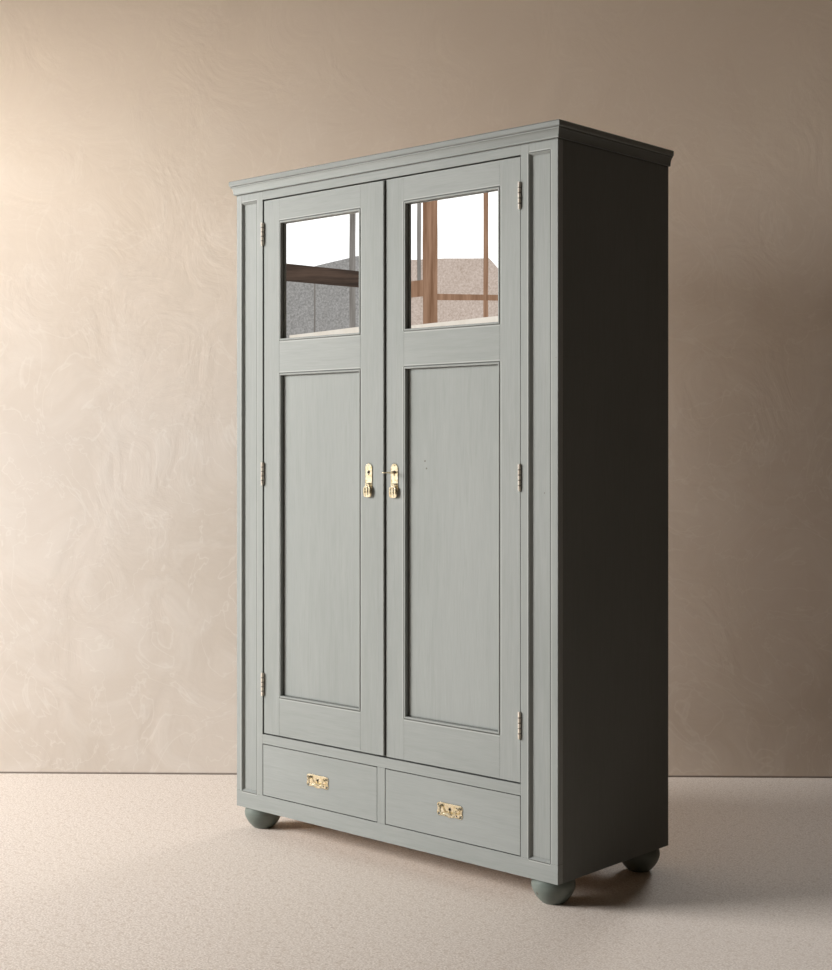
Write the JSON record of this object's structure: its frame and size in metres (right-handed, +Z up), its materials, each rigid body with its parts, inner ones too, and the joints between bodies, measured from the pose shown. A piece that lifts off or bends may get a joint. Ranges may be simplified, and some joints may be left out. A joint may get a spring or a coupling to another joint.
{
  "type": "wardrobe",
  "caption": "Painted pine wardrobe with mirrored panelled doors over drawers, moulded cornice, bun feet, butt hinges, brass pulls, lock and key.",
  "frame": {"origin": "centre of the bounding box's footprint, on the floor under the feet", "axes": "+X to the right of a person facing the doors, +Y to the back boards, +Z up"},
  "size_m": [1.275, 0.553, 2],
  "materials": {
    "green_paint": "satin",
    "bare_pine": "matte",
    "brass": "polished",
    "steel": "satin",
    "mirror": "polished"
  },
  "bodies": {
    "carcass": {"back_boards": "bare_pine", "bottom_board": "bare_pine", "bottom_rail": "green_paint", "bun_feet": "green_paint", "clothes_rail": "bare_pine", "cornice_front": "green_paint", "cornice_returns": "green_paint", "cornice_top": "green_paint", "deck_board": "bare_pine", "door_stops": "bare_pine", "drawer_muntin": "green_paint", "drawer_partition": "bare_pine", "drawer_runners": "bare_pine", "header_rail": "green_paint", "hinge_frame_leaves": "brass", "hinge_frame_screws": "steel", "hinge_pins": "brass", "left_pilaster_frame": "green_paint", "left_side": "green_paint", "middle_rail": "green_paint", "pilaster_bevels": "green_paint", "pilaster_panels": "green_paint", "rail_sockets": "bare_pine", "right_pilaster_frame": "green_paint", "right_side": "green_paint", "roof_board": "bare_pine"},
    "left_door": {"left_door_beads": "green_paint", "left_door_hinge_leaves": "brass", "left_door_mirror": "mirror", "left_door_mirror_back": "bare_pine", "left_door_panel": "green_paint", "left_door_pull_plate": "brass", "left_door_rails": "green_paint", "left_door_stiles": "green_paint", "meeting_strip": "green_paint", "bolt_guides": "steel"},
    "right_door": {"right_door_beads": "green_paint", "right_door_hinge_leaves": "brass", "right_door_mirror": "mirror", "right_door_mirror_back": "bare_pine", "right_door_panel": "green_paint", "right_door_pull_plate": "brass", "right_door_rails": "green_paint", "right_door_stiles": "green_paint", "lock_case": "steel"},
    "left_drawer": {"left_drawer_front": "green_paint", "left_drawer_box": "bare_pine", "left_drawer_pull_plate": "brass"},
    "right_drawer": {"right_drawer_front": "green_paint", "right_drawer_box": "bare_pine", "right_drawer_pull_plate": "brass"},
    "left_door_pull": {"left_door_pull": "brass"},
    "right_door_pull": {"right_door_pull": "brass"},
    "top_bolt": {"top_bolt": "steel"},
    "bottom_bolt": {"bottom_bolt": "steel"},
    "lock_bolt": {"lock_bolt": "steel"},
    "key": {"key": "brass"},
    "left_drawer_pull": {"left_drawer_pull": "brass"},
    "right_drawer_pull": {"right_drawer_pull": "brass"}
  },
  "joints": [
    {"name": "left_door_hinge", "type": "hinge", "parent": "carcass", "child": "left_door", "pos_m": [-0.49825, -0.237, 1.096], "axis": [0, 0, -1], "range_deg": [0, 170]},
    {"name": "right_door_hinge", "type": "hinge", "parent": "carcass", "child": "right_door", "pos_m": [0.49825, -0.237, 1.096], "axis": [0, 0, 1], "range_deg": [0, 170]},
    {"name": "left_door_pull_swing", "type": "hinge", "parent": "left_door", "child": "left_door_pull", "pos_m": [-0.05, -0.2375, 1.072], "axis": [-1, 0, 0], "range_deg": [0, 80]},
    {"name": "right_door_pull_swing", "type": "hinge", "parent": "right_door", "child": "right_door_pull", "pos_m": [0.05, -0.2375, 1.072], "axis": [-1, 0, 0], "range_deg": [0, 80]},
    {"name": "top_bolt_slide", "type": "slide", "parent": "left_door", "child": "top_bolt", "axis": [0, 0, 1], "range_m": [0, 0.012]},
    {"name": "bottom_bolt_slide", "type": "slide", "parent": "left_door", "child": "bottom_bolt", "axis": [0, 0, -1], "range_m": [0, 0.012]},
    {"name": "key_turn", "type": "hinge", "parent": "right_door", "child": "key", "pos_m": [0.05, -0.2765, 1.105], "axis": [0, 1, 0], "range_deg": [0, 180]},
    {"name": "lock_bolt_slide", "type": "slide", "parent": "right_door", "child": "lock_bolt", "axis": [-1, 0, 0], "range_m": [0, 0.009]},
    {"name": "left_drawer_slide", "type": "slide", "parent": "carcass", "child": "left_drawer", "axis": [0, -1, 0], "range_m": [0, 0.36]},
    {"name": "left_drawer_pull_swing", "type": "hinge", "parent": "left_drawer", "child": "left_drawer_pull", "pos_m": [-0.2575, -0.2406, 0.204], "axis": [-1, 0, 0], "range_deg": [0, 85]},
    {"name": "right_drawer_slide", "type": "slide", "parent": "carcass", "child": "right_drawer", "axis": [0, -1, 0], "range_m": [0, 0.36]},
    {"name": "right_drawer_pull_swing", "type": "hinge", "parent": "right_drawer", "child": "right_drawer_pull", "pos_m": [0.2575, -0.2406, 0.204], "axis": [-1, 0, 0], "range_deg": [0, 85]}
  ],
  "couplings": [
    {"joint": "lock_bolt_slide", "follows": "key_turn", "m_per_rad": 0.0028648}
  ]
}
